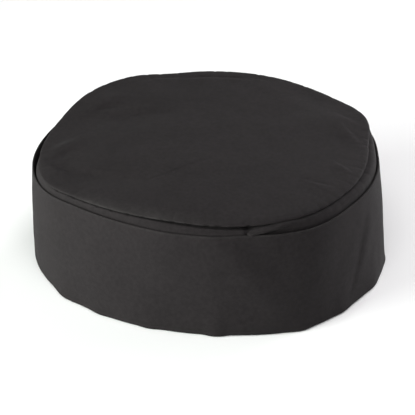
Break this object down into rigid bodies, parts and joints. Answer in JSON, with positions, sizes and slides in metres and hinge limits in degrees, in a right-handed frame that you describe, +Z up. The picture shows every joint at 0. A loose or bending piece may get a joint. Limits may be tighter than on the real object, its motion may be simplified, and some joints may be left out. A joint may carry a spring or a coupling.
{
  "type": "skull cap",
  "caption": "Oval cloth skull cap with a softly creased flat crown sewn to a side wall, and a turned-up band round it.",
  "frame": {"origin": "middle of the cap's outline, on the surface that its hem rests on", "axes": "+X along the long side of the oval, -Y towards the front, +Z up through the crown"},
  "size_m": [0.2139, 0.1733, 0.0816],
  "materials": {
    "black_twill": "matt black twill, slightly warm, with a soft sheen at grazing angles"
  },
  "bodies": {
    "root": {"crown_top": "black_twill", "side_wall": "black_twill", "cuff": "black_twill"}
  },
  "joints": []
}
